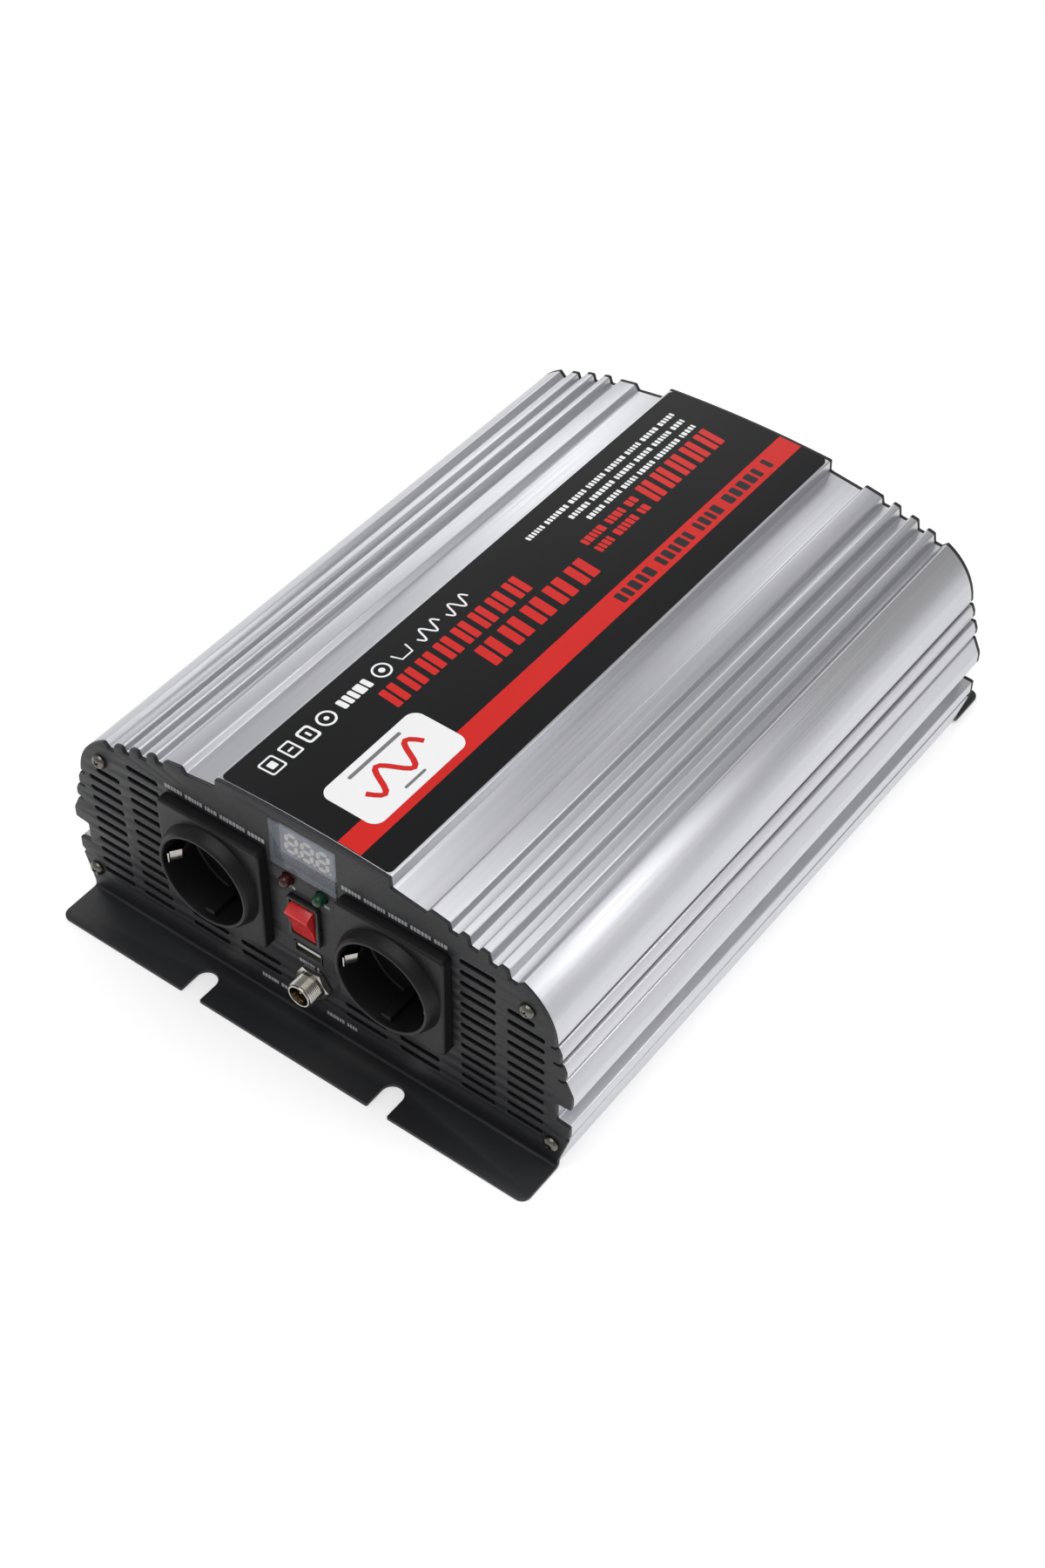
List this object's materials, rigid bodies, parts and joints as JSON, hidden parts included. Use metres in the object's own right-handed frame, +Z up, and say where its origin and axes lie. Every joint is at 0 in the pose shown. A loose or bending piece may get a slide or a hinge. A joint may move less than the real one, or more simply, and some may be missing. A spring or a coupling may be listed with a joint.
{
  "type": "power inverter",
  "caption": "Low finned aluminium case with black end panels, earthed mains sockets, meter, rocker switch, USB port and remote connector in front, and fan and battery terminals behind.",
  "frame": {"origin": "centre of the footprint, on the plane of the mounting flanges' undersides", "axes": "+X to the right seen from the front, +Y from the socket end to the battery end along the length, +Z up"},
  "size_m": [0.241, 0.3348, 0.11],
  "materials": {
    "case_aluminium": "satin anodised, extruded",
    "clamp_aluminium": "mill finish",
    "panel_coating": "fine satin powder coat on steel sheet",
    "label_film": "printed satin film",
    "socket_plastic": "moulded, satin gloss",
    "fitting_plastic": "moulded",
    "port_plastic": "moulded, pale grey",
    "meter_plastic": "moulded",
    "window_lens": "tinted clear plastic",
    "rocker_plastic": "glossy translucent red",
    "fault_lens": "clear red",
    "power_lens": "clear green",
    "nickel_plate": "nickel plated",
    "zinc_plate": "zinc plated",
    "brass": "turned",
    "positive_plastic": "moulded red",
    "negative_plastic": "moulded black",
    "board_laminate": "green solder mask",
    "ferrite": "sintered, taped winding",
    "copper_winding": "enamelled copper wire",
    "capacitor_sleeve": "shrink sleeve",
    "fan_plastic": "moulded"
  },
  "bodies": {
    "case": {"upper_housing": "case_aluminium", "base_tray": "case_aluminium", "left_transistor_bar": "clamp_aluminium", "right_transistor_bar": "clamp_aluminium", "front_panel": "panel_coating", "rear_panel": "panel_coating", "top_label": "label_film", "left_socket": "socket_plastic", "right_socket": "socket_plastic", "switch_body": "fitting_plastic", "remote_connector_insert": "fitting_plastic", "usb_insert": "port_plastic", "display_module": "meter_plastic", "display_window": "window_lens", "fault_lamp": "fault_lens", "power_lamp": "power_lens", "usb_shell": "nickel_plate", "remote_connector_shell": "nickel_plate", "remote_connector_nut": "nickel_plate", "left_socket_earth_strap": "nickel_plate", "right_socket_earth_strap": "nickel_plate", "earth_screw": "zinc_plate", "front_panel_screw_1": "zinc_plate", "front_panel_screw_2": "zinc_plate", "front_panel_screw_3": "zinc_plate", "front_panel_screw_4": "zinc_plate", "rear_panel_screw_1": "zinc_plate", "rear_panel_screw_2": "zinc_plate", "rear_panel_screw_3": "zinc_plate", "rear_panel_screw_4": "zinc_plate", "left_clamp_screw_1": "zinc_plate", "left_clamp_screw_2": "zinc_plate", "left_clamp_screw_3": "zinc_plate", "left_clamp_screw_4": "zinc_plate", "right_clamp_screw_1": "zinc_plate", "right_clamp_screw_2": "zinc_plate", "right_clamp_screw_3": "zinc_plate", "right_clamp_screw_4": "zinc_plate", "positive_terminal_post": "brass", "negative_terminal_post": "brass", "left_socket_upper_contact": "brass", "left_socket_lower_contact": "brass", "right_socket_upper_contact": "brass", "right_socket_lower_contact": "brass", "positive_terminal_insulator": "positive_plastic", "negative_terminal_insulator": "negative_plastic", "main_board": "board_laminate", "left_transformer": "ferrite", "right_transformer": "ferrite", "output_choke": "copper_winding", "input_capacitor": "capacitor_sleeve", "output_capacitor": "capacitor_sleeve", "fan_frame": "fan_plastic"},
    "rocker": {"switch_rocker": "rocker_plastic"},
    "fan_rotor": {"fan_rotor": "fan_plastic"},
    "positive_washer": {"positive_terminal_washer": "brass"},
    "positive_knob": {"positive_terminal_knob": "positive_plastic"},
    "negative_washer": {"negative_terminal_washer": "brass"},
    "negative_knob": {"negative_terminal_knob": "negative_plastic"}
  },
  "joints": [
    {"name": "rocker_tilt", "type": "hinge", "parent": "case", "child": "rocker", "pos_m": [-0.0007, -0.1465, 0.0585], "axis": [-1, 0, 0], "range_deg": [0, 34]},
    {"name": "fan_spin", "type": "hinge", "parent": "case", "child": "fan_rotor", "pos_m": [0, 0.132, 0.0535], "axis": [0, 1, 0], "continuous": true},
    {"name": "positive_washer_slide", "type": "slide", "parent": "case", "child": "positive_washer", "axis": [0, 1, 0], "range_m": [0, 0.005]},
    {"name": "positive_knob_turn", "type": "hinge", "parent": "positive_washer", "child": "positive_knob", "pos_m": [-0.078, 0.16, 0.0485], "axis": [0, 1, 0], "range_deg": [0, 1440]},
    {"name": "negative_washer_slide", "type": "slide", "parent": "case", "child": "negative_washer", "axis": [0, 1, 0], "range_m": [0, 0.005]},
    {"name": "negative_knob_turn", "type": "hinge", "parent": "negative_washer", "child": "negative_knob", "pos_m": [0.078, 0.16, 0.0485], "axis": [0, 1, 0], "range_deg": [0, 1440]}
  ],
  "couplings": [
    {"joint": "positive_knob_turn", "follows": "positive_washer_slide", "rad_per_m": 5026.5},
    {"joint": "negative_knob_turn", "follows": "negative_washer_slide", "rad_per_m": 5026.5}
  ]
}
